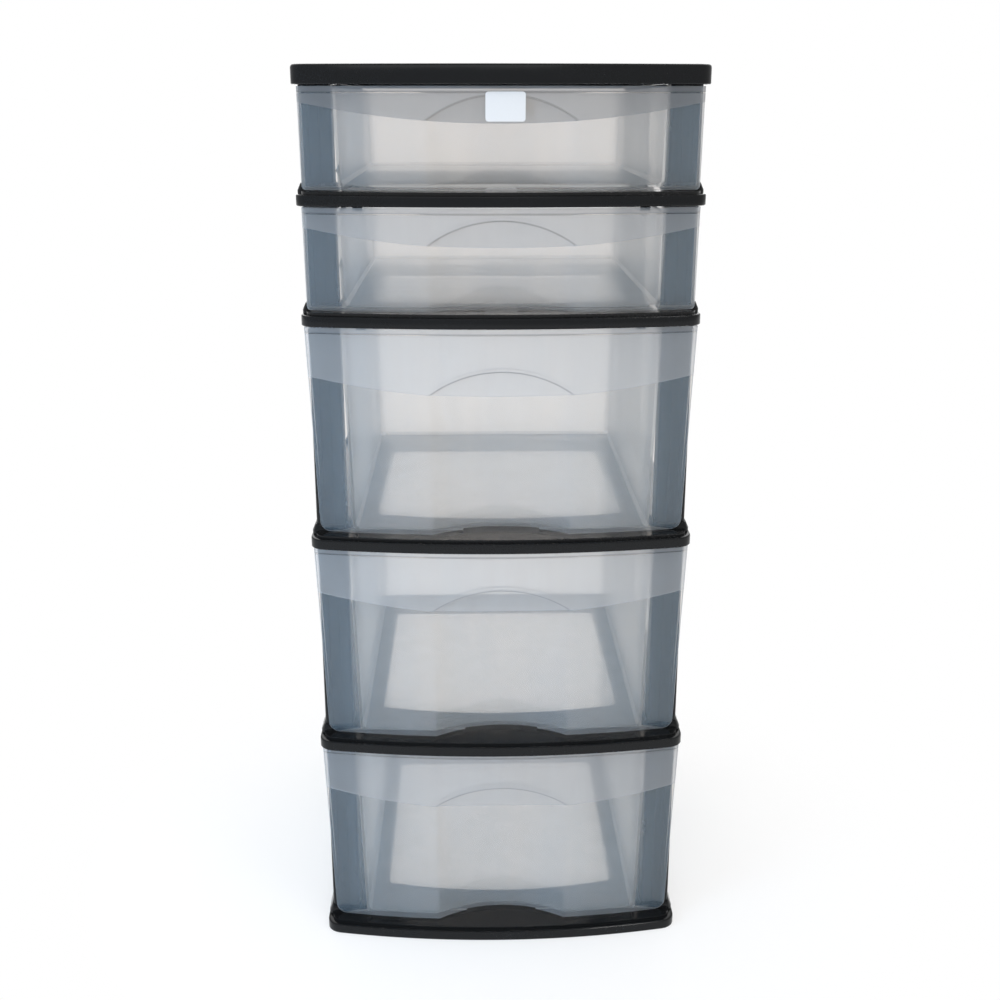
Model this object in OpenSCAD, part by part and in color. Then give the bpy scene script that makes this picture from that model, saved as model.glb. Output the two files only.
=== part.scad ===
// Five-drawer tower: black shelf frames on plug-in corner legs, with translucent moulded drawers.
// The origin is on the floor under the middle of the tower, the fronts face -Y and +Z is up.
// Each level is one shelf frame, four legs and one drawer; a lid closes the top.

/* [Tower] */
// Overall width of the lid, shelves and base
tower_w = 320; // [300:1:360]
// Overall depth, bowed front included
tower_d = 377; // [350:1:420]
// How far the front lips bow forward of their corners
front_bow = 17; // [12:0.5:22]
// Corner radius of the lid and shelves, seen from above
corner_r = 14; // [8:0.5:18]

/* [Levels] */
// Height of a shallow level, shelf to shelf
shallow_pitch = 93; // [85:1:120]
// Height of a deep level, shelf to shelf
deep_pitch = 186; // [150:1:220]

/* [Shelf frame] */
// Height of a shelf frame, underside to runner surface
shelf_h = 11; // [10:0.5:14]
// Height of the lower, outer step of a shelf's lip
lip_h = 8.6; // [8:0.1:9.4]
// Width of that lower step
lip_step = 4.5; // [3:0.5:6]
// Size of the rolled edges of lips
edge_roll = 1.2; // [0.6:0.1:2]
// Thickness of the top plates
plate_t = 3; // [2:0.1:3.5]
// Thickness of the skirts below the plates
skirt_t = 2.4; // [1.8:0.1:3]
// Thickness of the stiffening ribs under the plates
rib_t = 1.8; // [1.2:0.1:2.4]
// Depth of those ribs
rib_h = 4; // [2:0.5:6]
// Distance between ribs
rib_pitch = 52; // [40:1:70]
// Width of the side rails that the drawers run on
rail_w = 53; // [46:0.5:58]
// Depth of the front rail at its middle
front_rail = 65; // [55:1:80]
// Depth of the rear rail
rear_rail = 35; // [32:1:50]
// How far the opening's front edge bows
opening_bow = 15; // [8:0.5:20]
// Corner radius of the opening
opening_r = 6; // [4:0.5:16]
// How far the lid's lip hangs below the underside that a shelf would have in its place
lid_drop = 3.6; // [3:0.1:4]
// Size of the rolled top edge of the lid
lid_roll = 2.5; // [1.5:0.1:3]

/* [Legs] */
// Width of a leg, side to side
leg_w = 25; // [22:0.5:26]
// Depth of a leg, front to back
leg_d = 24; // [20:0.5:26]
// Wall of a leg
leg_wall = 2.2; // [1.6:0.1:3]
// Corner radius of a leg
leg_r = 3; // [2:0.5:4]
// Distance from a shelf's side edge to the leg
leg_inset = 4; // [3.5:0.1:5]
// Distance from a shelf's front corner back to the front leg
leg_setback = 18; // [17:0.5:24]
// Width of the two grooves in a leg's front and side
groove_w = 2.4; // [1.5:0.1:3]
// Depth of those grooves
groove_t = 1; // [0.5:0.1:1.2]
// Height of the flared collar round a leg's foot
collar_h = 5.5; // [4:0.5:8]
// Wall of that collar at its top edge
collar_top_t = 0.9; // [0.8:0.1:1.4]
// Wall of the socket above a leg, and least wall of the collar at its base
collar_wall = 2.2; // [1.6:0.1:2.4]
// Clearance round a leg in its collar and sleeve
leg_fit = 0.3; // [0.2:0.05:0.5]

/* [Drawers] */
// Wall of a drawer
wall = 2.4; // [1.8:0.1:2.8]
// Distance from the lip's front to the drawer front's top edge
face_setback = 7; // [2:0.5:7.5]
// Backward lean of the drawer front
face_lean = 2.7; // [2:0.1:3]
// Distance from a shelf's side edge to the top corner of a shallow drawer's front
shallow_side = 4.6; // [3:0.1:6]
// Distance from a shelf's side edge to the top corner of a deep drawer's front
deep_side = 2.4; // [1.5:0.1:4]
// Inward taper of the side edges of a shallow drawer's front
shallow_taper = 0.3; // [0:0.1:1.5]
// Inward taper of the side edges of a deep drawer's front
deep_taper = 1.9; // [1:0.1:3]
// Radius of the lower corners of a shallow drawer's front
shallow_r = 3.5; // [3:0.5:8]
// Radius of the lower corners of a deep drawer's front
deep_r = 9; // [6:0.5:14]
// Distance from a drawer front's top edge to the lip above
face_gap = 1.2; // [0.8:0.1:2]
// Distance from the rim of a drawer's sides and back to the underside of the shelf above
rim_gap = 5.8; // [5.6:0.1:7]
// Distance from the shelf to the drawer front's bottom edge
bottom_gap = 0.6; // [0.5:0.1:1.2]
// Height of the bead along a drawer front's top
bead_h = 4.4; // [3:0.1:5]
// Height of the rim along a drawer's sides and back
rim_h = 3.2; // [2.5:0.1:3.6]
// Height of the groove below the bead
neck_h = 0.8; // [0.6:0.1:1.2]
// Depth of that groove, and of the clear panel behind the frosted band
step_t = 0.8; // [0.5:0.1:1]
// Distance from the shelf above to the lower edge of a shallow drawer's frosted band, at its middle
shallow_band = 32; // [31:0.5:38]
// Distance from the shelf above to the lower edge of a deep drawer's frosted band, at its middle
deep_band = 57; // [46:0.5:64]
// Radius of the band's curved lower edge
band_r = 780; // [600:10:1200]
// Half the width of the finger pull and of the hollow below it
pull_half = 58; // [45:1:64]
// Rise of the finger pull's arch
pull_rise = 19; // [14:0.5:20]
// Depth of the finger pull at its arch
pull_t = 3; // [2:0.5:4]
// Depth of the hollow at the drawer's bottom edge
hollow_t = 20; // [12:0.5:22]
// Clearance between a drawer's rim and the legs
side_gap = 1; // [0.8:0.1:2]
// Overhang of the rim along a drawer's sides and back
rim_t = 1.5; // [1:0.1:2]
// Inward draft of the drawer's side and back walls
draft = 1.4; // [1:0.1:2]
// Height of the bevel round a drawer's floor
foot_h = 3; // [2:0.5:4]
// Radius of the drawer's rear corners
bin_r = 9; // [6:1:16]
// Distance from the shelf's rear edge to the drawer
rear_gap = 12; // [8:1:20]
// Width of the two runners under a drawer
runner_w = 10; // [6:0.5:12]
// Height of those runners
runner_h = 1.7; // [1.5:0.1:2.5]
// Running clearance between runner and shelf
runner_gap = 0.3; // [0.2:0.05:0.4]
// Distance from the edge of a shelf's opening to a runner
runner_inset = 3; // [2:0.5:4]

/* [Drawer stops] */
// How far the ribs over the drawers' rims hang below the shelf's underside, to keep open drawers level
level_drop = 3; // [2:0.1:3.6]
// Distance of each stop tab from the middle
stop_x = 112; // [100:1:115]
// Width of a stop tab
stop_w = 8; // [5:0.5:10]
// Thickness of a stop tab
stop_t = 2.5; // [2:0.1:4]
// How far a stop tab hangs below the shelf's underside
stop_drop = 4; // [3:0.1:4.4]
// Size of the ramp on a stop tab's front edge
stop_ramp = 1.5; // [1:0.1:2]
// Distance from the front corners back to the stop tabs
stop_setback = 5; // [4:0.5:12]

/* [Hidden] */
LEVELS = ["shallow", "shallow", "deep", "deep", "deep"];
CORNERS = ["front_left", "front_right", "rear_left", "rear_right"];
level_count = len(LEVELS);
leg_names = [for (i = [1:level_count], c = CORNERS) str("leg_", i, "_", c)];
drawer_names = [for (i = [1:level_count]) str("drawer_", i)];
shelf_names = [for (i = [1:level_count - 1]) str("shelf_", i)];

// Places that the pieces share
front_y = -tower_d / 2;
rear_y = tower_d / 2;
corner_y = front_y + front_bow;
bow_r = (pow(tower_w / 2, 2) + pow(front_bow, 2)) / (2 * front_bow);
bow_y = front_y + bow_r;
leg_x = tower_w / 2 - leg_inset - leg_w / 2;
front_leg_y = corner_y + leg_setback + leg_d / 2;
rear_leg_y = rear_y - leg_inset - leg_d / 2;
collar_side = leg_fit + collar_wall;
collar_edge_gap = 0.3;
opening_half = tower_w / 2 - rail_w;
cut = 1;
eps = 0.01;

// Heights: a level's floor is the underside of the frame that its drawer runs on
function pitch(i) = LEVELS[i - 1] == "deep" ? deep_pitch : shallow_pitch;
function level_z(i) = i >= level_count ? 0 : level_z(i + 1) + pitch(i + 1);
lid_top = level_z(0) + shelf_h;
lid_h = shelf_h + lid_drop;

// Points of an arc, from angle a to angle b in n steps
function arc(c, r, a, b, n) = [for (k = [0:n]) c + r * [cos(a + (b - a) * k / n), sin(a + (b - a) * k / n)]];

// Outline of a lid or shelf: a bowed front between rounded corners, moved inwards by an inset
corner_x = tower_w / 2 - corner_r;
corner_cy = bow_y - sqrt(pow(bow_r - corner_r, 2) - pow(corner_x, 2));
bow_angle = atan2(corner_x, bow_y - corner_cy);
bow_steps = 24;
corner_steps = 5;
function outline(inset = 0) = concat(
    arc([-corner_x, corner_cy], corner_r - inset, 180, 270 - bow_angle, corner_steps),
    arc([0, bow_y], bow_r - inset, 270 - bow_angle, 270 + bow_angle, bow_steps),
    arc([corner_x, corner_cy], corner_r - inset, 270 + bow_angle, 360, corner_steps),
    arc([corner_x, rear_y - corner_r], corner_r - inset, 0, 90, corner_steps),
    arc([-corner_x, rear_y - corner_r], corner_r - inset, 90, 180, corner_steps));

// Outline of the opening in a shelf, grown outwards by an amount; its front edge bows as the lip does
opening_front = front_y + front_rail;
opening_bow_r = (pow(opening_half, 2) + pow(opening_bow, 2)) / (2 * opening_bow);
opening_bow_y = opening_front + opening_bow_r;
opening_cx = opening_half - opening_r;
opening_cy = opening_bow_y - sqrt(pow(opening_bow_r - opening_r, 2) - pow(opening_cx, 2));
opening_angle = atan2(opening_cx, opening_bow_y - opening_cy);
opening_rear = rear_y - rear_rail;
module opening_2d(grow = 0) {
    r = opening_r + grow;
    polygon(concat(
        arc([-opening_cx, opening_cy], r, 180, 270 - opening_angle, corner_steps),
        arc([0, opening_bow_y], opening_bow_r + grow, 270 - opening_angle, 270 + opening_angle, bow_steps / 2),
        arc([opening_cx, opening_cy], r, 270 + opening_angle, 360, corner_steps),
        arc([opening_cx, opening_rear - opening_r], r, 0, 90, corner_steps),
        arc([-opening_cx, opening_rear - opening_r], r, 90, 180, corner_steps)));
}

// A flat slab of an outline between two heights
module slab(inset, z0, z1) {
    translate([0, 0, z0]) linear_extrude(z1 - z0) polygon(outline(inset));
}

// The outer form of a lip: a rounded top edge over a bevelled bottom edge
module lip_form(h, top_roll, bottom_roll) {
    hull() {
        slab(bottom_roll, 0, h / 2);
        for (a = [0:30:90])
            slab(top_roll * (1 - cos(a)), bottom_roll, h - top_roll * (1 - sin(a)));
    }
}

// Places children at the four legs
module at_legs() {
    for (sx = [-1, 1], y = [front_leg_y, rear_leg_y]) translate([sx * leg_x, y, 0]) children();
}

// A leg's cross-section, grown by an amount
module leg_2d(grow = 0) {
    r = leg_r + grow;
    x = leg_w / 2 - leg_r;
    y = leg_d / 2 - leg_r;
    polygon(concat(arc([x, y], r, 0, 90, 4), arc([-x, y], r, 90, 180, 4),
        arc([-x, -y], r, 180, 270, 4), arc([x, -y], r, 270, 360, 4)));
}

// Straight ribs across the underside of a plate, whose underside is at z1
module ribs(z1) {
    for (k = [-3:3]) translate([0, 0, z1 - rib_h]) {
        translate([k * rib_pitch - rib_t / 2, front_y, 0]) cube([rib_t, tower_d, rib_h + cut]);
        translate([-tower_w / 2, k * rib_pitch - rib_t / 2, 0]) cube([tower_w, rib_t, rib_h + cut]);
    }
}

// Plan of the ribs over a drawer's rim, which join the leg sockets, from y0 backwards
module rim_ribs_2d(y0) {
    x = leg_x - leg_w / 2 - collar_side;
    for (sx = [-1, 1]) translate([sx * (x + rib_t / 2) - rib_t / 2, y0]) square([rib_t, bin_rear - y0]);
    translate([-x, bin_rear - rib_t]) square([2 * x, rib_t]);
}

// Those ribs behind the front sockets, from a plate down to z_end
module rim_ribs(z_plate, z_end) {
    translate([0, 0, z_end]) linear_extrude(z_plate - z_end) rim_ribs_2d(front_leg_y - leg_d / 2 - collar_side);
}

// The tabs that catch a drawer's back wall, from a plate down to z_end, each with a ramp at its front
module stop_tabs(z_plate, z_end) {
    for (sx = [-1, 1])
        translate([sx * stop_x - stop_w / 2, corner_y + stop_setback, 0]) rotate([90, 0, 90])
            linear_extrude(stop_w)
                polygon([[0, z_plate], [0, z_end + stop_ramp], [stop_ramp, z_end],
                    [stop_ramp + stop_t, z_end], [stop_ramp + stop_t, z_plate]]);
}

// The flared collar that a leg's foot stands in, on the runner surface
module collar() {
    flare = leg_inset - collar_side - collar_edge_gap;
    intersection() {
        hull() {
            linear_extrude(collar_h) leg_2d(leg_fit + collar_top_t);
            translate([0, 0, -collar_drop]) linear_extrude(collar_drop) leg_2d(collar_side + flare);
        }
        translate([-leg_w, -leg_d / 2 - collar_side, -shelf_h]) cube([2 * leg_w, 2 * leg_d, 2 * shelf_h + collar_h]);
    }
}
collar_drop = shelf_h - lip_h + eps;

// The frame between two drawers, in its own place with its underside at z = 0; the base has no drawer below
module frame(below) {
    difference() {
        union() {
            lip_form(lip_h, edge_roll, edge_roll / 2);
            slab(lip_step, lip_h - plate_t, shelf_h);
            translate([0, 0, shelf_h]) at_legs() collar();
        }
        translate([0, 0, -cut]) linear_extrude(shelf_h + 2 * cut) opening_2d();
        difference() {
            union() {
                translate([0, 0, -cut]) linear_extrude(lip_h - plate_t + cut) frame_pocket(skirt_t);
                translate([0, 0, -cut]) linear_extrude(shelf_h - plate_t + cut) frame_pocket(lip_step + skirt_t);
            }
            ribs(shelf_h - plate_t);
            if (below) linear_extrude(shelf_h) rim_ribs_2d(front_y);
            at_legs() linear_extrude(shelf_h) leg_2d(collar_side);
        }
        translate([0, 0, shelf_h]) at_legs() linear_extrude(collar_h + cut) leg_2d(leg_fit);
        if (below) translate([0, 0, -cut]) at_legs() linear_extrude(shelf_h - plate_t + cut) leg_2d(leg_fit);
    }
    if (below) {
        stop_tabs(shelf_h - plate_t, -stop_drop);
        rim_ribs(shelf_h - plate_t, -level_drop);
    }
}

// The hollow between a frame's outer skirt and the skirt round its opening
module frame_pocket(inset) {
    difference() {
        polygon(outline(inset));
        opening_2d(skirt_t);
    }
}

module shelf(i) {
    color("#1b1c1f") translate([0, 0, level_z(i)]) frame(below = true);
}

module base() {
    color("#1b1c1f") frame(below = false);
}

module lid() {
    seat = lid_h - plate_t;
    color("#1b1c1f") translate([0, 0, lid_top - lid_h]) {
        difference() {
            lip_form(lid_h, lid_roll, edge_roll / 2);
            difference() {
                translate([0, 0, -cut]) linear_extrude(seat + cut) polygon(outline(skirt_t));
                ribs(seat);
                translate([0, 0, lid_drop]) linear_extrude(shelf_h) rim_ribs_2d(front_y);
                at_legs() linear_extrude(lid_h) leg_2d(collar_side);
            }
            translate([0, 0, -cut]) at_legs() linear_extrude(seat + cut) leg_2d(leg_fit);
        }
        stop_tabs(seat, lid_drop - stop_drop);
        rim_ribs(seat, lid_drop - level_drop);
    }
}

// A leg of level i: a hollow upright with two grooves down its front and down its outer side
module leg(i, corner) {
    sx = corner % 2 == 0 ? -1 : 1;
    front = corner < 2;
    h = pitch(i) - plate_t;
    color("#1b1c1f")
        translate([sx * leg_x, front ? front_leg_y : rear_leg_y, level_z(i) + shelf_h])
            mirror([sx < 0 ? 1 : 0, 0, 0]) mirror([0, front ? 0 : 1, 0])
                linear_extrude(h) difference() {
                    leg_2d();
                    leg_2d(-leg_wall);
                    for (k = [-1, 1]) {
                        translate([k * leg_w / 6 - groove_w / 2, -leg_d / 2 - cut]) square([groove_w, groove_t + cut]);
                        translate([leg_w / 2 - groove_t, k * leg_d / 6 - groove_w / 2]) square([groove_t + cut, groove_w]);
                    }
                }
}

// Drawer, with the underside of its shelf at z = 0: top is the front's top edge, and rim_z the top of the rim
face_bottom = shelf_h + bottom_gap;
floor_z = shelf_h + runner_gap + runner_h;
ear_gap = 0.9;
ear_y = corner_y + leg_setback - collar_side - ear_gap;
bin_half = leg_x - leg_w / 2 - side_gap - rim_t;
bin_rear = rear_y - rear_gap;
foot_in = 2.4;
runner_end = 8;

// Everything behind the drawer's leaning, bowed front surface, moved back by an amount
module behind_face(top, back = 0) {
    span = tower_w;
    tall = 2 * deep_pitch;
    a = asin((span / 2 + cut) / bow_r);
    translate([0, front_y + face_setback + back, top]) rotate([face_lean, 0, 0]) translate([0, 0, -tall])
        linear_extrude(2 * tall) difference() {
            translate([-span / 2, -cut]) square([span, tower_d]);
            polygon(concat([[span, -span], [span, span / 4]],
                arc([0, bow_r], bow_r, 270 + a, 270 - a, bow_steps), [[-span, span / 4], [-span, -span]]));
        }
}

// Front view of a drawer face: side edges that taper in, and rounded lower corners
module face_view(deep, top, inset = 0) {
    taper = deep ? deep_taper : shallow_taper;
    x1 = tower_w / 2 - (deep ? deep_side : shallow_side) - inset;
    z1 = top - inset;
    z0 = face_bottom + inset;
    x0 = x1 - (z1 - z0) * tan(taper);
    r = (deep ? deep_r : shallow_r) - inset;
    reach = r / tan(45 + taper / 2);
    polygon(concat([[x1, z1]], arc([x0 - reach, z0 + r], r, -taper, -90, corner_steps),
        arc([reach - x0, z0 + r], r, 270, 180 + taper, corner_steps), [[-x1, z1]]));
}

// Turns a front view into a solid from y0 to y1
module from_front(y0, y1) {
    translate([0, y1, 0]) rotate([90, 0, 0]) linear_extrude(y1 - y0) children();
}

// The tapered tub of a drawer, lofted from its floor to a height; in moves its walls inwards
module tub(rim_z, high, in = 0) {
    low = floor_z + in;
    dip = (rim_z - low) * tan(draft);
    hull() {
        translate([0, 0, low]) linear_extrude(eps) tub_2d(in + dip + foot_in);
        translate([0, 0, low + foot_h]) linear_extrude(eps) tub_2d(in + dip);
        translate([0, 0, high - eps]) linear_extrude(eps) tub_2d(in + (rim_z - high) * tan(draft));
    }
}

// Plan of the tub, open-ended towards the front, moved inwards by an amount
module tub_2d(in) {
    x = bin_half - in;
    y = bin_rear - rim_t - in;
    polygon(concat([[-x, front_y - cut], [x, front_y - cut]],
        arc([x - bin_r, y - bin_r], bin_r, 0, 90, corner_steps),
        arc([bin_r - x, y - bin_r], bin_r, 90, 180, corner_steps)));
}

// The finger hollow: shallow under the arch of the pull, deeper towards the bottom edge
module hollow(top, band_z, grow = 0) {
    z_end = band_z + pull_dip;
    z_arch = z_end + pull_rise;
    lean_low = (top - face_bottom) * tan(face_lean);
    lean_high = (top - z_arch) * tan(face_lean);
    intersection() {
        hull() {
            translate([0, lean_low, face_bottom - cut]) linear_extrude(eps) hollow_2d(hollow_t, grow);
            translate([0, lean_high, z_arch + grow]) linear_extrude(eps) hollow_2d(pull_t, grow);
        }
        from_front(front_y - cut, rear_y) arch_view(z_end, grow);
    }
}
pull_dip = pow(pull_half, 2) / (2 * band_r);

// Plan of the hollow: an arc of the given depth between the two ends of the pull
module hollow_2d(depth, grow) {
    y = bow_y - sqrt(pow(bow_r, 2) - pow(pull_half, 2)) + face_setback;
    r = (pow(pull_half, 2) + pow(depth, 2)) / (2 * depth);
    a = asin(pull_half / r);
    wide = pull_half + grow;
    polygon(concat([[-wide, front_y - cut], [wide, front_y - cut], [wide, y + grow]],
        [for (p = arc([0, y + depth - r], r, 90 - a, 90 + a, 16)) p + [0, grow]], [[-wide, y + grow]]));
}

// Front view of the hollow: straight sides under an arch
module arch_view(z_end, grow) {
    r = (pow(pull_half, 2) + pow(pull_rise, 2)) / (2 * pull_rise);
    a = asin(pull_half / r);
    wide = pull_half + grow;
    polygon(concat([[wide, 0], [wide, z_end]],
        arc([0, z_end + pull_rise - r], r + grow, 90 - a, 90 + a, 20), [[-wide, z_end], [-wide, 0]]));
}

// Front view of the area below the frosted band's curved edge
module below_band(z_mid) {
    a = asin(tower_w / 2 / band_r);
    polygon(concat([[-tower_w / 2, 0], [tower_w / 2, 0]],
        arc([0, z_mid + band_r], band_r, 270 + a, 270 - a, bow_steps)));
}

// The rim that stiffens the sides and back of the tub
module tub_rim(rim_z) {
    translate([0, 0, rim_z - rim_h]) linear_extrude(rim_h) intersection() {
        tub_2d(-rim_t);
        translate([-tower_w / 2, ear_y]) square([tower_w, tower_d]);
    }
}

module drawer(i) {
    deep = LEVELS[i - 1] == "deep";
    top = pitch(i) - face_gap - (i == 1 ? lid_drop : 0);
    rim_z = pitch(i) - rim_gap;
    band_z = pitch(i) - (deep ? deep_band : shallow_band);
    color("#c3cbd3", 0.55) translate([0, 0, level_z(i)]) {
        difference() {
            intersection() {
                union() {
                    from_front(front_y - cut, ear_y) face_view(deep, top);
                    tub(rim_z, rim_z);
                    tub_rim(rim_z);
                }
                behind_face(top);
            }
            difference() {
                intersection() {
                    tub(rim_z, top + cut, wall);
                    behind_face(top, wall + step_t);
                }
                hollow(top, band_z, wall);
            }
            difference() {
                intersection() {
                    from_front(front_y - cut, ear_y + cut) face_view(deep, top, wall);
                    behind_face(top, wall + step_t);
                }
                tub(rim_z, top + cut);
                hollow(top, band_z, wall);
            }
            hollow(top, band_z);
            difference() {
                from_front(front_y - cut, ear_y) {
                    below_band(band_z);
                    translate([-tower_w / 2, top - bead_h - neck_h]) square([tower_w, neck_h]);
                }
                behind_face(top, step_t);
            }
        }
        runners();
    }
}

// The two skids that carry a drawer on the side rails
module runners() {
    x = opening_half + runner_inset + runner_w / 2;
    front = corner_y + leg_setback;
    length = bin_rear - bin_r - runner_end - front;
    for (sx = [-1, 1])
        translate([sx * x - runner_w / 2, front, floor_z - runner_h]) cube([runner_w, length, runner_h + wall / 2]);
}

lid();
base();
for (i = [1:level_count - 1])
    shelf(i);
for (i = [1:level_count], c = [0:3])
    leg(i, c);
for (i = [1:level_count])
    drawer(i);
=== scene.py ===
import math

import bmesh
import bpy
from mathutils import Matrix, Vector


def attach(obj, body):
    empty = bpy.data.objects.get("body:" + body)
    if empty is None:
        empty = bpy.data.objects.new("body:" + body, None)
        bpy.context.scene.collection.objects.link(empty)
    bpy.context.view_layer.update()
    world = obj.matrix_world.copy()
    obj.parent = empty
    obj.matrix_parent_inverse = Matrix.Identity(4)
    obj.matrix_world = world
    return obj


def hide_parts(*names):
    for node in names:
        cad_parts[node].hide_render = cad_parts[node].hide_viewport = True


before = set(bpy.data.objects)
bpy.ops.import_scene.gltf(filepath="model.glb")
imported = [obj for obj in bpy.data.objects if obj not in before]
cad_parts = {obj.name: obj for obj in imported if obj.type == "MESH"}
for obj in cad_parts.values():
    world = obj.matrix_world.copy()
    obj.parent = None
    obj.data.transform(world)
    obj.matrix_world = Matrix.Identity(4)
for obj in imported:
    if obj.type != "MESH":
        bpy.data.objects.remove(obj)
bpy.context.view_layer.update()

# --- Base ---------------------------------------------------------------------------------------
# The lowest frame stands on the floor. It is injection moulded in black polypropylene: a rolled
# front lip, a stepped tray with a large opening, and four collars that the lowest legs plug into.


def smooth_copy(node):
    """A welded, smooth-shaded copy of a CAD node that takes the node's place."""
    weld, crease = 2e-6, math.radians(28)
    bm = bmesh.new()
    bm.from_mesh(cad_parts[node].data)
    bmesh.ops.remove_doubles(bm, verts=bm.verts, dist=weld)
    bmesh.ops.dissolve_degenerate(bm, edges=bm.edges, dist=weld / 2)
    mesh = bpy.data.meshes.new(node + "_moulding")
    bm.to_mesh(mesh)
    bm.free()
    mesh.attributes.remove(mesh.attributes["custom_normal"])
    mesh.shade_smooth()
    mesh.set_sharp_from_angle(angle=crease)
    piece = bpy.data.objects.new(node + "_moulding", mesh)
    bpy.context.scene.collection.objects.link(piece)
    return piece


def dress(piece, node, body, material):
    """Gives a copy its material, and puts it on its body in place of the CAD node."""
    piece.data.materials.clear()
    piece.data.materials.append(material)
    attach(piece, body)
    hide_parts(node)


def node_group(name, inputs, outputs):
    """An empty group of shader nodes with these sockets, and the nodes at its two ends."""
    tree = bpy.data.node_groups.new(name, "ShaderNodeTree")
    for labels, side in ((inputs, "INPUT"), (outputs, "OUTPUT")):
        for label in labels:
            tree.interface.new_socket(label, in_out=side, socket_type="NodeSocketFloat")
    return tree, tree.nodes.new("NodeGroupInput"), tree.nodes.new("NodeGroupOutput")


def noise(tree, vector, scale, detail=2.0, roughness=0.5, stretch=(1, 1, 1)):
    """Noise between 0 and 1. The scale is a number or another node's output."""
    mapping = tree.nodes.new("ShaderNodeMapping")
    mapping.inputs["Scale"].default_value = stretch
    tree.links.new(vector, mapping.inputs["Vector"])
    texture = tree.nodes.new("ShaderNodeTexNoise")
    texture.inputs["Detail"].default_value = detail
    texture.inputs["Roughness"].default_value = roughness
    if isinstance(scale, float):
        texture.inputs["Scale"].default_value = scale
    else:
        tree.links.new(scale, texture.inputs["Scale"])
    tree.links.new(mapping.outputs["Vector"], texture.inputs["Vector"])
    return texture.outputs["Fac"]


def ranged(tree, value, low, high, to_low=0.0, to_high=1.0):
    """Maps a value from one range to another, whose ends are numbers or other nodes' outputs."""
    node = tree.nodes.new("ShaderNodeMapRange")
    for label, number in (("From Min", low), ("From Max", high), ("To Min", to_low), ("To Max", to_high)):
        if isinstance(number, (int, float)):
            node.inputs[label].default_value = number
        else:
            tree.links.new(number, node.inputs[label])
    tree.links.new(value, node.inputs["Value"])
    return node.outputs["Result"]


def maths(tree, operation, a, b):
    """One sum of two values, each a number or another node's output."""
    node = tree.nodes.new("ShaderNodeMath")
    node.operation = operation
    for socket, value in zip(node.inputs, (a, b)):
        if isinstance(value, (int, float)):
            socket.default_value = value
        else:
            tree.links.new(value, socket)
    return node.outputs["Value"]


# The skin of a moulding: a soft ripple from the steel mould, fine handling scratches, and dust.
skin, skin_in, skin_out = node_group(
    "moulded_skin",
    inputs=("Ripple scale", "Gloss roughness", "Scratch roughness", "Dust"),
    outputs=("Roughness", "Height", "Dust"))
place = skin.nodes.new("ShaderNodeTexCoord").outputs["Object"]
ripple = noise(skin, place, scale=skin_in.outputs["Ripple scale"], detail=2.0)
scratches = noise(skin, place, scale=420.0, detail=4.0, roughness=0.6, stretch=(1.0, 0.18, 0.5))
cloud = noise(skin, place, scale=11.0, detail=5.0, roughness=0.62)
specks = noise(skin, place, scale=900.0, detail=1.0)
rubbed = ranged(skin, scratches, low=0.52, high=0.75)
worn = maths(skin, "MULTIPLY", rubbed, skin_in.outputs["Scratch roughness"])
mottle_depth = 0.05
mottled = maths(skin, "MULTIPLY", ranged(skin, cloud, low=0.35, high=0.7), mottle_depth)
rough = maths(skin, "ADD", maths(skin, "ADD", skin_in.outputs["Gloss roughness"], worn), mottled)
skin.links.new(rough, skin_out.inputs["Roughness"])
scratch_height = 0.06
raised = maths(skin, "ADD", ripple, maths(skin, "MULTIPLY", rubbed, scratch_height))
skin.links.new(raised, skin_out.inputs["Height"])
dust_lies = ranged(skin, cloud, low=0.45, high=0.75)
dust = maths(skin, "MULTIPLY", dust_lies, ranged(skin, specks, low=0.5, high=0.72))
skin.links.new(maths(skin, "MULTIPLY", dust, skin_in.outputs["Dust"]), skin_out.inputs["Dust"])


def moulded_black(name, colour, dusty, ripple_scale, roughness, scratch, dust_amount, ripple_depth, edge):
    """Black moulded plastic, its edges rounded by the given radius."""
    material = bpy.data.materials.new(name)
    material.use_nodes = True
    tree = material.node_tree
    plastic = tree.nodes["Principled BSDF"]
    plastic.inputs["IOR"].default_value = 1.49
    plastic.inputs["Specular IOR Level"].default_value = 0.24
    surface = tree.nodes.new("ShaderNodeGroup")
    surface.node_tree = skin
    for label, number in (("Ripple scale", ripple_scale), ("Gloss roughness", roughness),
                          ("Scratch roughness", scratch), ("Dust", dust_amount)):
        surface.inputs[label].default_value = number
    tint = tree.nodes.new("ShaderNodeMix")
    tint.data_type = "RGBA"
    tint.inputs["A"].default_value = (*colour, 1)
    tint.inputs["B"].default_value = (*dusty, 1)
    tree.links.new(surface.outputs["Dust"], tint.inputs["Factor"])
    tree.links.new(tint.outputs["Result"], plastic.inputs["Base Color"])
    tree.links.new(surface.outputs["Roughness"], plastic.inputs["Roughness"])
    rounded = tree.nodes.new("ShaderNodeBevel")
    rounded.samples = 4
    rounded.inputs["Radius"].default_value = edge
    bump = tree.nodes.new("ShaderNodeBump")
    bump.inputs["Distance"].default_value = ripple_depth
    bump.inputs["Strength"].default_value = 0.6
    tree.links.new(surface.outputs["Height"], bump.inputs["Height"])
    tree.links.new(rounded.outputs["Normal"], bump.inputs["Normal"])
    tree.links.new(bump.outputs["Normal"], plastic.inputs["Normal"])
    return material


black_frame = moulded_black(
    "black_frame", colour=(0.006, 0.0063, 0.0067), dusty=(0.05, 0.053, 0.056), ripple_scale=70.0,
    roughness=0.11, scratch=0.08, dust_amount=0.12, ripple_depth=0.00012, edge=0.0006)
dress(smooth_copy("base"), "base", "tower", black_frame)

# --- Shelves ------------------------------------------------------------------------------------
# Four more frames of the same moulding part the drawers. Each has stop tabs under its front lip
# and sockets underneath, and drops onto the four legs below it.

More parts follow.
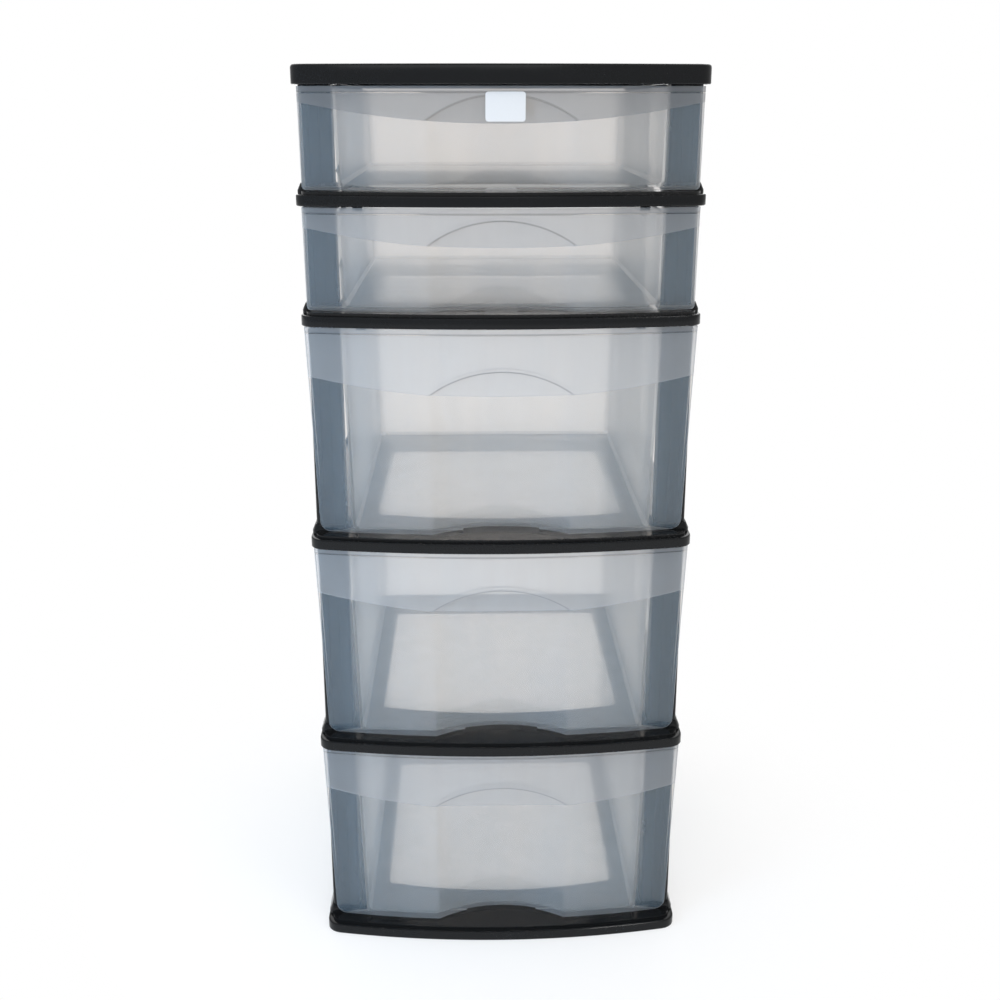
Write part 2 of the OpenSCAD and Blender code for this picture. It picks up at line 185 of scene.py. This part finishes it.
for number in (4, 3, 2, 1):
    shelf = f"shelf_{number}"
    dress(smooth_copy(shelf), shelf, "tower", black_frame)

# --- Legs ---------------------------------------------------------------------------------------
# Twenty hollow uprights of black polypropylene, a little duller than the frames. Two grooves run
# down the front and the outer side of each, and its ends are pushed into the collars and sockets.

black_leg = moulded_black(
    "black_leg", colour=(0.007, 0.0074, 0.008), dusty=(0.05, 0.053, 0.056), ripple_scale=55.0,
    roughness=0.26, scratch=0.12, dust_amount=0.35, ripple_depth=0.00015, edge=0.0005)
for level in (5, 4, 3, 2, 1):
    for corner in ("front_left", "front_right", "rear_left", "rear_right"):
        leg = f"leg_{level}_{corner}"
        dress(smooth_copy(leg), leg, "tower", black_leg)

# --- Drawers ------------------------------------------------------------------------------------
# Thin tubs moulded in natural polypropylene, which is cloudy: it scatters blue and passes a warmer
# white. The mould is polished, apart from the band along the front's top, which it leaves frosted.

# The tower's foremost line and the radius of its bow, and how a drawer's front sits behind the bow
FRONT_Y = -0.1885
BOW_R = 0.7614
FACE_SETBACK = 0.007
FACE_LEAN = math.radians(2.7)
# The radius of the band's lower edge, the height of the rim's bead, and the radius of the arch over
# the finger hollow, whose middle lies this far below the band's edge
BAND_R = 0.780
BEAD = 0.0044
PULL_R = 0.09803
PULL_LOW = 0.07687
# Each drawer's floor level, front's top, the middle of its band's lower edge, how much of the light the
# surfaces of its walls and of its floor scatter, and how much of its frost's colour is kept under painted
# shade, which stands for the shade under the frame above
DRAWERS = {
    1: (0.651, 0.0882, 0.061, 0.27, 0.28, 0.70),
    2: (0.558, 0.0918, 0.061, 0.30, 0.28, 0.86),
    3: (0.372, 0.1848, 0.129, 0.41, 0.25, 0.95),
    4: (0.186, 0.1848, 0.129, 0.41, 0.25, 0.96),
    5: (0.0, 0.1848, 0.129, 0.41, 0.25, 0.90),
}
# How much of the light the clear panel and the frosted band scatter
CLEAR_CLOUD = 0.15
BAND_CLOUD = 0.42


def face_y(number, x, z):
    """Where the leaning, bowed front of a drawer is, at a height above the floor."""
    level, top = DRAWERS[number][:2]
    bow = BOW_R - math.sqrt(BOW_R ** 2 - x ** 2)
    return FRONT_Y + FACE_SETBACK + bow + (level + top - z) * math.tan(FACE_LEAN)


def mark_zones(piece, number):
    """Writes on each face what kind of wall it is, how cloudy, where painted shade and the deeper colour
    along it apply, and where its frost starts.
    """
    level, top, edge, wall, ground, shade = DRAWERS[number]
    hollow_half, hollow_depth = 0.0606, 0.0245
    front_depth, skin_depth = 0.0045, 0.0006
    floor_height, rim_height = 0.018, 0.012
    no_frost = 9.0
    marks = {name: [] for name in (
        "clear_panel", "frost_from", "groove_at", "cloud", "frost_painted_shade", "depth", "edge")}
    for face in piece.data.polygons:
        x, y, z = face.center
        behind = y - face_y(number, x, z)
        hollow = abs(x) < hollow_half and behind < hollow_depth
        front = abs(face.normal.y) > 0.5 and (behind < front_depth or hollow)
        outer = face.normal.y < -0.5 and (behind < skin_depth or hollow)
        under = abs(face.normal.z) > 0.7 and z < level + floor_height
        on_rim = face.normal.z > 0.7 and z > level + top - rim_height
        marks["clear_panel"].append(1.0 if front else 0.0)
        marks["frost_from"].append(level + edge if outer else no_frost)
        marks["groove_at"].append(level + top - BEAD)
        marks["cloud"].append(CLEAR_CLOUD if front else ground if under else wall)
        # Painted shade: how much of the frost's colour is kept under the frame above
        marks["frost_painted_shade"].append(shade)
        marks["depth"].append(0.0 if under else 1.0)
        # Painted shade on the rim's cut, for the shade under the frame above
        marks["edge"].append(1.0 if on_rim else 0.0)
    for name, values in marks.items():
        piece.data.attributes.new(name, "FLOAT", "FACE").data.foreach_set("value", values)


clear_plastic = bpy.data.materials.new("clear_drawer")
clear_plastic.use_nodes = True
tree = clear_plastic.node_tree
plastic = tree.nodes["Principled BSDF"]
plastic.inputs["IOR"].default_value = 1.49
plastic.inputs["Specular IOR Level"].default_value = 0.0


def attribute(name):
    """A value that mark_zones wrote on the faces."""
    node = tree.nodes.new("ShaderNodeAttribute")
    node.attribute_name = name
    return node.outputs["Fac"]


def by_zone(tub, clear, frosted):
    """A value or colour for the tub's walls, the clear panel and the frosted band."""
    if isinstance(tub, float):
        return ranged(tree, band, 0.0, 1.0, ranged(tree, panel, 0.0, 1.0, tub, clear), frosted)
    colour = None
    for factor, other in ((panel, clear), (band, frosted)):
        mix = tree.nodes.new("ShaderNodeMix")
        mix.data_type = "RGBA"
        mix.inputs["A"].default_value = (*tub, 1)
        mix.inputs["B"].default_value = (*other, 1)
        tree.links.new(factor, mix.inputs["Factor"])
        if colour:
            tree.links.new(colour, mix.inputs["A"])
        colour = mix.outputs["Result"]
    return colour


def mixed(factor, first, second):
    """The first shader where the factor is 0, and the second where it is 1."""
    node = tree.nodes.new("ShaderNodeMixShader")
    if isinstance(factor, float):
        node.inputs["Fac"].default_value = factor
    else:
        tree.links.new(factor, node.inputs["Fac"])
    tree.links.new(first, node.inputs[1])
    tree.links.new(second, node.inputs[2])
    return node.outputs["Shader"]


panel = attribute("clear_panel")
place = tree.nodes.new("ShaderNodeTexCoord").outputs["Object"]
across = tree.nodes.new("ShaderNodeSeparateXYZ")
tree.links.new(place, across.inputs[0])
sideways = across.outputs["X"]
upwards = across.outputs["Z"]
frost_from = attribute("frost_from")
# The frosted band starts at an arc that is lowest at the middle, and is full within 0.6 mm.
out_squared = maths(tree, "POWER", maths(tree, "ABSOLUTE", sideways, 0.0), 2.0)
curve = maths(tree, "MULTIPLY", out_squared, 0.5 / BAND_R)
height_over = maths(tree, "SUBTRACT", maths(tree, "SUBTRACT", upwards, curve), frost_from)
band = ranged(tree, height_over, low=-0.0003, high=0.0003)
# Two thin lines of painted shade lie in the frost: along the groove under the rim's bead, and along the
# arch over the finger hollow. Each is 0.8 mm wide and fades out over as much again on both sides.
up_arch = maths(tree, "ADD", maths(tree, "SUBTRACT", upwards, frost_from), PULL_LOW)
up_arch_squared = maths(tree, "MULTIPLY", up_arch, up_arch)
sideways_squared = maths(tree, "MULTIPLY", sideways, sideways)
out_arch = maths(tree, "POWER", maths(tree, "ADD", up_arch_squared, sideways_squared), 0.5)
from_arch = maths(tree, "ABSOLUTE", maths(tree, "SUBTRACT", out_arch, PULL_R), 0.0)
from_groove = maths(tree, "ABSOLUTE", maths(tree, "SUBTRACT", upwards, attribute("groove_at")), 0.0)
from_line = maths(tree, "MINIMUM", from_arch, from_groove)
near_line = ranged(tree, from_line, low=0.0004, high=0.0012, to_low=1.0, to_high=0.0)
line = maths(tree, "MULTIPLY", near_line, band)
surface = tree.nodes.new("ShaderNodeGroup")
surface.node_tree = skin
for label, value in (("Ripple scale", 38.0), ("Gloss roughness", 0.10),
                     ("Scratch roughness", 0.10), ("Dust", 0.015)):
    surface.inputs[label].default_value = value
streaks = noise(tree, place, scale=30.0, detail=3.0, stretch=(1.0, 1.0, 0.04))
grain = noise(tree, place, scale=1800.0, detail=2.0)


def kept(factor, left):
    """How much of a colour is kept: all of it where the factor is 0, and this much where it is 1."""
    return ranged(tree, factor, 0.0, 1.0, to_low=1.0, to_high=left)


# Painted shade: the frost is darkened under the frame above and in its lines, and the cut of the rim is
# darkened, standing for the shade that falls there. A wall also looks deeper in colour where the eye
# looks along it.
line_painted_shade = kept(line, 0.75)
dimmed = kept(band, maths(tree, "MULTIPLY", attribute("frost_painted_shade"), line_painted_shade))
slant = tree.nodes.new("ShaderNodeLayerWeight")
slant.inputs["Blend"].default_value = 0.5
along = maths(tree, "MULTIPLY", maths(tree, "POWER", slant.outputs["Facing"], 4.0), attribute("depth"))
dimmed = maths(tree, "MULTIPLY", dimmed, kept(along, 0.60))
# Painted shade: the rim's cut keeps three quarters of its colour
dimmed = maths(tree, "MULTIPLY", dimmed, kept(attribute("edge"), 0.75))


def shaded(colour):
    """Darkens a colour by the painted shade, and where the eye looks along the wall."""
    scale = tree.nodes.new("ShaderNodeVectorMath")
    scale.operation = "SCALE"
    tree.links.new(colour, scale.inputs[0])
    tree.links.new(dimmed, scale.inputs["Scale"])
    return scale.outputs["Vector"]


scattered = by_zone(tub=(0.995, 0.995, 0.995), clear=(0.45, 0.62, 0.77), frosted=(0.78, 0.80, 0.83))
colour = shaded(scattered)
tree.links.new(colour, plastic.inputs["Base Color"])
zone_roughness = by_zone(tub=0.2, clear=0.0, frosted=0.32)
roughness = maths(tree, "ADD", surface.outputs["Roughness"], zone_roughness)
tree.links.new(roughness, plastic.inputs["Roughness"])
bump = tree.nodes.new("ShaderNodeBump")
bump.inputs["Distance"].default_value = 0.0003
bump.inputs["Strength"].default_value = 0.35
grain_height = 0.25
frost_grain = maths(tree, "MULTIPLY", grain, maths(tree, "MULTIPLY", band, grain_height))
height = maths(tree, "ADD", surface.outputs["Height"], frost_grain)
tree.links.new(height, bump.inputs["Height"])
tree.links.new(bump.outputs["Normal"], plastic.inputs["Normal"])
# The cloud in the wall is lit from both sides. More of it shows where the wall is frosted, streaked
# or dusty, or seen edge on.
glow_through = tree.nodes.new("ShaderNodeBsdfTranslucent")
tree.links.new(colour, glow_through.inputs["Color"])
streak_cloud, slant_cloud = 0.045, 0.07
cloudy = ranged(tree, band, 0.0, 1.0, attribute("cloud"), BAND_CLOUD)
streaked = ranged(tree, streaks, low=0.35, high=0.7)
cloudy = maths(tree, "ADD", cloudy, maths(tree, "MULTIPLY", streaked, streak_cloud))
cloudy = maths(tree, "ADD", cloudy, surface.outputs["Dust"])
cloudy = maths(tree, "ADD", cloudy, maths(tree, "MULTIPLY", slant.outputs["Facing"], slant_cloud))
passed = tree.nodes.new("ShaderNodeBsdfTransparent")
let_through = by_zone(tub=(1.0, 1.0, 1.0), clear=(1.0, 0.955, 0.91), frosted=(1.0, 0.98, 0.96))
tree.links.new(shaded(let_through), passed.inputs["Color"])
gloss = tree.nodes.new("ShaderNodeBsdfGlossy")
tree.links.new(roughness, gloss.inputs["Roughness"])
tree.links.new(bump.outputs["Normal"], gloss.inputs["Normal"])
edge_shine, least_shine = 0.6, 0.035
grazing = maths(tree, "POWER", slant.outputs["Facing"], 5.0)
shine = maths(tree, "ADD", maths(tree, "MULTIPLY", grazing, edge_shine), least_shine)
lit_from_behind = 0.65
scatter = mixed(lit_from_behind, plastic.outputs["BSDF"], glow_through.outputs["BSDF"])
wall = mixed(shine, mixed(cloudy, passed.outputs["BSDF"], scatter), gloss.outputs["BSDF"])
tree.links.new(wall, tree.nodes["Material Output"].inputs["Surface"])

for number in (5, 4, 3, 2, 1):
    drawer = f"drawer_{number}"
    tub = smooth_copy(drawer)
    mark_zones(tub, number)
    dress(tub, drawer, drawer + "_body", clear_plastic)

# --- Label --------------------------------------------------------------------------------------
# A small blank paper label with rounded corners is stuck on the top drawer's frosted band, just
# under its rim. It follows the bow of the drawer's front.

LABEL_X = (-0.0125, 0.0177)
LABEL_Z = (0.7136, 0.7351)
LABEL_R = 0.0022
# How far the label's front and back stand before the drawer's front
LABEL_FRONT = 0.00015
LABEL_BACK = 0.00002

left, right = LABEL_X[0] + LABEL_R, LABEL_X[1] - LABEL_R
lower, upper = LABEL_Z[0] + LABEL_R, LABEL_Z[1] - LABEL_R
outline = []
for cx, cz, start in ((right, upper, 0), (left, upper, 90), (left, lower, 180), (right, lower, 270)):
    for degrees in range(0, 91, 15):
        turn = math.radians(start + degrees)
        outline.append((cx + LABEL_R * math.cos(turn), cz + LABEL_R * math.sin(turn)))


def on_front(bm, x, z, out):
    """A point before the top drawer's front, by this much."""
    return bm.verts.new((x, face_y(1, x, z) - out, z))


bm = bmesh.new()
front_ring = [on_front(bm, x, z, LABEL_FRONT) for x, z in outline]
back_ring = [on_front(bm, x, z, LABEL_BACK) for x, z in outline]
middle_x, middle_z = sum(LABEL_X) / 2, sum(LABEL_Z) / 2
front_middle = on_front(bm, middle_x, middle_z, LABEL_FRONT)
back_middle = on_front(bm, middle_x, middle_z, LABEL_BACK)
for a in range(len(outline)):
    b = (a + 1) % len(outline)
    bm.faces.new((front_middle, front_ring[b], front_ring[a]))
    bm.faces.new((back_middle, back_ring[a], back_ring[b]))
    bm.faces.new((front_ring[a], front_ring[b], back_ring[b], back_ring[a]))
bmesh.ops.recalc_face_normals(bm, faces=bm.faces)
mesh = bpy.data.meshes.new("label")
bm.to_mesh(mesh)
bm.free()
label = bpy.data.objects.new("label", mesh)
bpy.context.scene.collection.objects.link(label)
paper = bpy.data.materials.new("label_paper")
paper.use_nodes = True
tree = paper.node_tree
sheet = tree.nodes["Principled BSDF"]
sheet.inputs["Specular IOR Level"].default_value = 0.35
place = tree.nodes.new("ShaderNodeTexCoord").outputs["Object"]
fibre = noise(tree, place, scale=1500.0, detail=4.0, roughness=0.7)
shade = tree.nodes.new("ShaderNodeMix")
shade.data_type = "RGBA"
shade.inputs["A"].default_value = (0.60, 0.585, 0.575, 1)
shade.inputs["B"].default_value = (0.67, 0.655, 0.645, 1)
tree.links.new(fibre, shade.inputs["Factor"])
tree.links.new(shade.outputs["Result"], sheet.inputs["Base Color"])
matte = ranged(tree, fibre, low=0.3, high=0.7, to_low=0.45, to_high=0.6)
tree.links.new(matte, sheet.inputs["Roughness"])
label.data.materials.append(paper)
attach(label, "drawer_1_body")

# --- Lid ----------------------------------------------------------------------------------------
# The lid closes the top level. It is the shelf's outline with a deeper rolled lip and a flat top,
# in the same glossy black, and it drops onto the four top legs.

dress(smooth_copy("lid"), "lid", "tower", black_frame)

# --- Floor --------------------------------------------------------------------------------------
# A plain white studio floor, which keeps the tower's soft shadow and runs out into plain white.

bpy.ops.mesh.primitive_circle_add(vertices=96, radius=14, fill_type="NGON", location=(0, 0, 0))
floor = bpy.context.object
floor.name = "studio_floor"
white = bpy.data.materials.new("studio_white")
white.use_nodes = True
tree = white.node_tree
paint = tree.nodes["Principled BSDF"]
paint.inputs["Base Color"].default_value = (0.92, 0.92, 0.92, 1)
paint.inputs["Roughness"].default_value = 0.8
paint.inputs["Specular IOR Level"].default_value = 0.2
distance = tree.nodes.new("ShaderNodeVectorMath")
distance.operation = "LENGTH"
tree.links.new(tree.nodes.new("ShaderNodeTexCoord").outputs["Object"], distance.inputs[0])
# What the eye sees of the floor glows, directly, mirrored or through the plastic: a third of it under
# the tower, and all of it from 0.42 m out.
ray = tree.nodes.new("ShaderNodeLightPath")
seen = maths(tree, "MAXIMUM", ray.outputs["Is Camera Ray"], ray.outputs["Is Glossy Ray"])
seen = maths(tree, "MAXIMUM", seen, ray.outputs["Is Transmission Ray"])
far = ranged(tree, distance.outputs["Value"], low=0.10, high=0.42, to_low=0.35, to_high=1.0)
glow = tree.nodes.new("ShaderNodeEmission")
glow.inputs["Color"].default_value = (1, 1, 1, 1)
out = mixed(maths(tree, "MULTIPLY", seen, far), paint.outputs["BSDF"], glow.outputs["Emission"])
tree.links.new(out, tree.nodes["Material Output"].inputs["Surface"])
floor.data.materials.append(white)

# --- Light --------------------------------------------------------------------------------------
# An even white surround, a large soft lamp high in front, a near cool window on the left that nothing
# mirrors, a lamp behind that lights the tubs from the back, and a narrow strip high on the right.

world = bpy.data.worlds.new("studio")
bpy.context.scene.world = world
world.use_nodes = True
tree = world.node_tree
surround = tree.nodes["Background"]
surround.inputs["Color"].default_value = (1, 1, 1, 1)
# The surround is at full strength where it is seen, a little weaker as light, and half as strong in
# mirrors.
ray = tree.nodes.new("ShaderNodeLightPath")
as_light, in_mirrors = 0.94, 0.52
strength = ranged(tree, ray.outputs["Is Diffuse Ray"], 0.0, 1.0, 1.0, as_light)
strength = ranged(tree, ray.outputs["Is Glossy Ray"], 0.0, 1.0, strength, in_mirrors)
tree.links.new(strength, surround.inputs["Strength"])


def lamp(name, place, target, width, height, power, colour, mirrored=True):
    """A rectangular lamp that lights the scene but isn't itself seen."""
    data = bpy.data.lights.new(name, "AREA")
    data.shape = "RECTANGLE"
    data.size = width
    data.size_y = height
    data.energy = power
    data.color = colour
    light = bpy.data.objects.new(name, data)
    bpy.context.scene.collection.objects.link(light)
    light.location = place
    light.visible_camera = False
    light.visible_glossy = mirrored
    light.rotation_euler = (Vector(target) - Vector(place)).to_track_quat("-Z", "Y").to_euler()


lamp("softbox", place=(-0.3, -2.2, 1.9), target=(0, 0, 0.35), width=1.6, height=1.2, power=6,
     colour=(1, 0.99, 0.98))
lamp("window", place=(-0.80, -0.80, 0.36), target=(0, -0.1, 0.25), width=0.5, height=1.0, power=9.5,
     colour=(0.40, 0.68, 1.0), mirrored=False)
lamp("behind", place=(0, 1.3, 0.9), target=(0, 0, 0.4), width=1.2, height=1.0, power=4.5,
     colour=(1, 1, 1))
lamp("strip", place=(0.9, -1.3, 1.9), target=(0, -0.15, 0.4), width=0.7, height=0.12, power=6,
     colour=(1, 0.99, 0.97))

# --- Camera -------------------------------------------------------------------------------------
# Its place is fitted to the lips in the photograph: just below the lid's height, slightly to the
# left, tilted down by 18 degrees and turned a little to the right.

camera = bpy.data.objects.new("camera", bpy.data.cameras.new("camera"))
bpy.context.scene.collection.objects.link(camera)
camera.location = (-0.0244, -1.2303, 0.7282)
camera.rotation_euler = (math.radians(90 - 18.02), 0, math.radians(-1.247))
# The focal length in pixels of a picture 1000 wide, for a sensor 36 mm wide
focal_pixels, picture_width = 1332.7, 1000
camera.data.sensor_width = 36
camera.data.lens = 36 * focal_pixels / picture_width
camera.data.shift_y = 0.03476
bpy.context.scene.camera = camera
bpy.context.scene.view_settings.view_transform = "Standard"
bpy.context.scene.cycles.transparent_max_bounces = 32
bpy.context.scene.cycles.diffuse_bounces = 12
